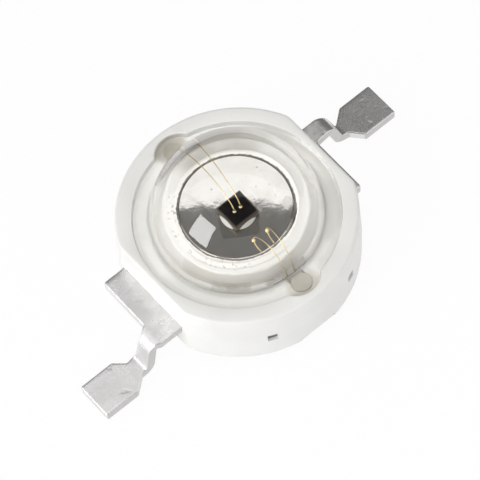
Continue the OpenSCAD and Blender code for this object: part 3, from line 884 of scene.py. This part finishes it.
def bright_silver():
    f = Finish("bright silver")
    around = f.heading()
    cloud = f.noise(2.2)
    pits = f.noise(9, 4, seed=(5, 2, 1)).between(0.66, 0.73)
    open_side = inside(around, OPEN_SIDE - 14, OPEN_SIDE + 14, 8)
    flux = inside(abs(around), 150, 180, 20)
    rim = f.from_axis() + f.noise(6) * 0.05 + open_side * 0.03 + flux * f.noise(9, 4) * 0.05
    colour = f.layers(
        f.blend(cloud.between(0.35, 0.7), (0.97, 0.95, 0.92), (0.92, 0.9, 0.86)),
        (pits * 0.7, (0.35, 0.31, 0.26)),
        (rim.between(1.372, 1.395) * 0.7, (0.2, 0.16, 0.12)),
    )
    east, north = f.place_in(0) - WORN[0], f.place_in(1) - WORN[1]
    worn = ((east * east + north * north) ** 0.5 + f.noise(5, 4) * 0.4).fading(0.28, 0.36)
    rough = cloud.between(0.3, 0.8, 0.06, 0.12) + pits * 0.15 + worn * 0.45
    waves = f.noise(1.6, 2, seed=(1, 7, 3)) + f.noise(12) * 0.16
    return f.done(f.shade(Base_Color=colour, Metallic=1, Roughness=rough, Normal=f.bump(waves, 0.006)))


# %% [markdown]
# The leads are plated sheet: satin, a shade darker than silver, with a grain along the rolled
# sheet, a few shallow dents and fine scratches in two directions. The cut sides of the sheet are
# darkened as painted shade, for the dim surroundings they mirror, and the surface's own normal
# tells where they are. Some white plastic bled onto the tabs beside the body, and the sheared
# ends of the tie bars are darkened as painted shade of their slots.

# %% Satin plate
def satin_plate():
    f = Finish("satin plate")
    cloud = f.noise(1.3)
    grain = f.noise(16, 4, stretch=(0.12, 1, 1))
    scratch = f.noise(15, stretch=(1, 0.09, 1), seed=(4, 4, 4), turn=28).between(0.61, 0.7)
    across = f.noise(12, stretch=(0.1, 1, 1), seed=(9, 1, 6), turn=-17).between(0.62, 0.7)
    dents = f.noise(1.8, 2, seed=(3, 5, 8)).between(0.6, 0.72)
    rough = cloud.between(0.3, 0.7, 0.22, 0.3) + grain * 0.06
    # painted shade: the sides of the sheet, found by the surface's own normal, are darkened for the dim
    # surroundings they mirror
    square = f.add("ShaderNodeNewGeometry", output="Normal")
    sideways_y = f.add("ShaderNodeSeparateXYZ", None, {0: square}, output=1)
    cut = abs(sideways_y).between(0.6, 0.85)
    relief = grain * 0.4 + scratch * 0.4 - across * 0.4 + f.noise(6) * 0.35 - dents * 1.5
    x, y = f.place_in(0), f.place_in(1)
    bleed = abs(x).fading(4.2, 4.75) * (x * y).between(1.5, 3)
    bleed = bleed * f.noise(3, seed=(6, 2, 4)).between(0.3, 0.6)
    metal = 0.87 - bleed * 0.45
    # painted shade: the sheared ends of the tie bars inside their slots are darkened
    slot_shade = abs(y).between(3.3, 3.5)
    colour = f.layers(
        f.blend(cloud.between(0.3, 0.7), (0.82, 0.81, 0.805), (0.74, 0.73, 0.725)),
        ((scratch + across) * 0.15, (0.95, 0.94, 0.93)),
        # painted shade on the sides of the sheet
        (cut, (0.56, 0.55, 0.54)),
        # painted shade of the tie-bar slots
        (slot_shade * 0.85, (0.16, 0.15, 0.14)),
    )
    return f.done(f.shade(Base_Color=colour, Metallic=metal, Roughness=rough, Normal=f.bump(relief, 0.004)))


# %% [markdown]
# Gold wire is drawn and soft, so it has a high shine and a rich colour. The paste is silver
# flake in resin, pale and dull. The chip is a nearly black crystal, paler where it was sawn.

# %% Gold, paste and chip
def soft_gold():
    f = Finish("soft gold")
    cloud = f.noise(25, 2)
    colour = f.blend(cloud, (1, 0.84, 0.48), (0.95, 0.74, 0.36))
    return f.done(f.shade(Base_Color=colour, Metallic=1, Roughness=cloud.between(0.2, 0.8, 0.14, 0.24)))


def silver_paste():
    f = Finish("silver paste")
    flake = f.noise(40, 4)
    colour = f.blend(flake, (0.62, 0.61, 0.59), (0.42, 0.41, 0.39))
    rough = flake.between(0.2, 0.8, 0.35, 0.55)
    return f.done(f.shade(Base_Color=colour, Metallic=0.35, Roughness=rough, Normal=f.bump(flake, 0.006)))


def dark_crystal():
    f = Finish("dark crystal")
    grain = f.noise(30, 4)
    colour = f.blend(grain, (0.002, 0.0012, 0.0015), (0.006, 0.004, 0.005))
    x, y = abs(f.place_in(0)), abs(f.place_in(1) - CHIP_Y)
    border = x.math("MAXIMUM", x, y)
    colour = f.blend(border.between(0.31, 0.335) * 0.6, colour, (0.11, 0.09, 0.07))
    return f.done(f.shade(
        Base_Color=colour, Roughness=grain.between(0.3, 0.7, 0.35, 0.5), Specular_IOR_Level=0.1,
        Normal=f.bump(grain, 0.003),
    ))


# %% [markdown]
# Clear plastic and gel bend light and reflect a little of it at each border. The gel is softer
# and bends light slightly less than the lens, so its border is given the ratio of the two. Light
# for shadows goes straight through both, because a renderer that has to find each lamp through
# a curved lens leaves grain behind. Cast plastic is never quite even, so faint waves lie round
# the foot of the dome. They die away above it, and the mirror under the dome stays true.

# %% Clear lens and gel
LENS_INDEX, GEL_INDEX = 1.53, 1.42


def clear(name, index, tint):
    f = Finish(name)
    reach = f.from_axis()
    outer = reach.between(2.1, 2.8, 0.04, 1) * reach.between(2.86, 2.95, 1, 0.25)
    streak = f.noise(1, 2) * outer
    colour = f.blend(streak, tint, tuple(0.985 * v for v in tint))
    glass = f.shade(
        Base_Color=colour, Roughness=0, IOR=index, Transmission_Weight=1, Normal=f.bump(streak, 0.04)
    )
    passing = f.add("ShaderNodeBsdfTransparent", None, {"Color": (*tint, 1)})
    return f.done(f.add("ShaderNodeMixShader", None, {0: f.ray("Is Shadow Ray"), 1: glass, 2: passing}))


def gel_top_and_port_shade():
    """The gel's own top is dull: a milky skin with a faint sheen, darker beige as painted shade of the
    port.
    """
    f = Finish("gel top and port shade")
    cloud = f.noise(2.5)
    # painted shade: the beige of the gel top is darkened for the port's hollow
    colour = f.blend(cloud.between(0.3, 0.7), (0.78, 0.75, 0.67), (0.7, 0.67, 0.58))
    return f.done(f.shade(Base_Color=colour, Roughness=0.35, Alpha=0.75, Normal=f.bump(cloud, 0.02)))


FINISHES = {
    "white_moulding": white_plastic(),
    "silver_plate": bright_silver(),
    "tin_plate": satin_plate(),
    "gold_wire": soft_gold(),
    "silver_paste": silver_paste(),
    "clear_lens": clear("clear lens", LENS_INDEX, (0.985, 0.985, 0.98)),
    "clear_gel": clear("clear gel", GEL_INDEX / LENS_INDEX, (0.99, 0.985, 0.975)),
}
for made in PIECES.values():
    made.data.materials.append(FINISHES[made["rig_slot"]])
for made, finish in ((caps, gel_top_and_port_shade()), (chip, dark_crystal())):
    made.data.materials.clear()
    made.data.materials.append(finish)
print("finishes:", ", ".join(sorted(FINISHES)))

# %% [markdown]
# The stage is a pale floor under plain soft light. To the camera, and in metal and glass, the
# floor and the world round it are white. A share of the floor stays matt paint, so the object
# still casts its shadow. Mirrors need something to mirror. An upright dark card stands close
# behind the object, and the straight border across the disc is its top edge. Straight through
# plain glass the card is as white as the world, so the dome stays clear from the sides. A soft
# box lights the object from one side, and a panel in its place shines back as a four-sided spot.
# A dark hood round the camera's lens keeps glare off the dome.

# %% Stage
ROOM_LIGHT, CARD_LIGHT, CARD_GLOW = 0.86, 0.08, 0.42
FLOOR_SIDE, FLOOR_Z, FLOOR_GLOW = 1800, -0.002, 0.94
CARD_AZIMUTH, CARD_AWAY, CARD_WIDTH, CARD_TOP = 48, 16, 96, 35.4
# Azimuth, elevation, distance, width and height, and then how bright each is.
SIDE_BOX, LENS_HOOD = (180, 27, 200, 95, 105), (-122, 59, 90, 84, 84)
LAMP_LIGHT, PANEL_LIGHT, HOOD_LIGHT = 4, 12, 0.05


def white_floor():
    """A glow for the camera, metal and glass over matt paint for all other light."""
    f = Finish("white floor")
    paint = f.shade(Base_Color=(0.9, 0.9, 0.9, 1), Roughness=0.8)
    share = f.seen() * FLOOR_GLOW
    return f.done(f.add("ShaderNodeMixShader", None, {0: share, 1: paint, 2: f.glow((1, 1, 1), 1)}))


def dark_cloth():
    """Dark to a mirror, paler to a matt surface, and white straight through glass."""
    f = Finish("dark cloth")
    mirrored = f.ray("Glossy Depth").between(0, 1)
    gathered = f.ray("Diffuse Depth").between(0, 1)
    straight = 1 - mirrored + mirrored * CARD_LIGHT
    return f.done(f.glow((1, 0.97, 0.92), straight * (1 - gathered) + gathered * CARD_GLOW))


def pale_world():
    """White to the camera, metal and glass, and a little dimmer as a light."""
    f = Finish("pale studio", bpy.data.worlds)
    strength = f.seen().between(0, 1, ROOM_LIGHT, 1)
    light = f.add("ShaderNodeBackground", None, {"Color": (1, 1, 1, 1), "Strength": strength})
    return f.done(light, "World")


def stage_piece(name, skin_made, material):
    """A mesh that belongs to the studio and not to the object."""
    made = piece(name, [skin_made], "white_moulding")
    del made["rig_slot"]
    made.parent = None
    made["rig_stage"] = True
    made.data.materials.append(material)
    del PIECES[name]
    return made


def flat_sheet(place, side, up, width, height):
    """A flat sheet of four faces round a place, in millimetres."""
    a, b = np.meshgrid([-width / 2, 0, width / 2], [-height / 2, 0, height / 2])
    return skin(place + a[..., None] * side + b[..., None] * up)


def mirrored_panel(name, box, radiance):
    """A panel that only shiny surfaces show, dimmer where metal mirrors metal."""
    side, up, _, place = facing(*box[:3])
    sheet = flat_sheet(place, side, up, *box[3:])
    f = Finish(name)
    strength = f.ray("Glossy Depth").between(1, 2, radiance, min(radiance, 1.5))
    made = stage_piece(name, sheet, f.done(f.glow((1, 1, 0.99), strength)))
    made.visible_camera = made.visible_diffuse = made.visible_transmission = made.visible_shadow = False


def soft_lamp(name, box, radiance):
    """A soft box with an even glow. Its mirror image is left to a panel in the same place."""
    side, up, back, place = facing(*box[:3])
    lamp = bpy.data.lights.new(name, "AREA")
    lamp.shape, lamp.size, lamp.size_y = "RECTANGLE", box[3] * MM, box[4] * MM
    lamp.energy = radiance * np.pi * lamp.size * lamp.size_y
    made = bpy.data.objects.new(name, lamp)
    made.matrix_world = frame_of(side, up, back, place * MM)
    made.visible_camera = made.visible_glossy = False
    bpy.context.scene.collection.objects.link(made)


floor = flat_sheet([0, 0, FLOOR_Z], [1, 0, 0], [0, 1, 0], FLOOR_SIDE, FLOOR_SIDE)
stage_piece("floor", floor, white_floor())
side, up, _, foot = facing(CARD_AZIMUTH, 0, CARD_AWAY)
upright = flat_sheet(foot + up * CARD_TOP / 2, side, up, CARD_WIDTH, CARD_TOP)
card = stage_piece("dark_card", upright, dark_cloth())
card.visible_camera = card.visible_shadow = False
soft_lamp("side_box", SIDE_BOX, LAMP_LIGHT)
mirrored_panel("side_panel", SIDE_BOX, PANEL_LIGHT)
mirrored_panel("lens_hood", LENS_HOOD, HOOD_LIGHT)
bpy.context.scene.world = pale_world()
bpy.context.scene.view_settings.view_transform = "Standard"
bpy.context.scene.cycles.blur_glossy = 0
bpy.context.scene.cycles.diffuse_bounces = 8

# %% Compare the two boxes and finish
made_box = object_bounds()
gaps = [abs(a - b) / MM for low, high in zip(cad_box, made_box) for a, b in zip(low, high)]
print("largest difference in mm:", max(gaps))
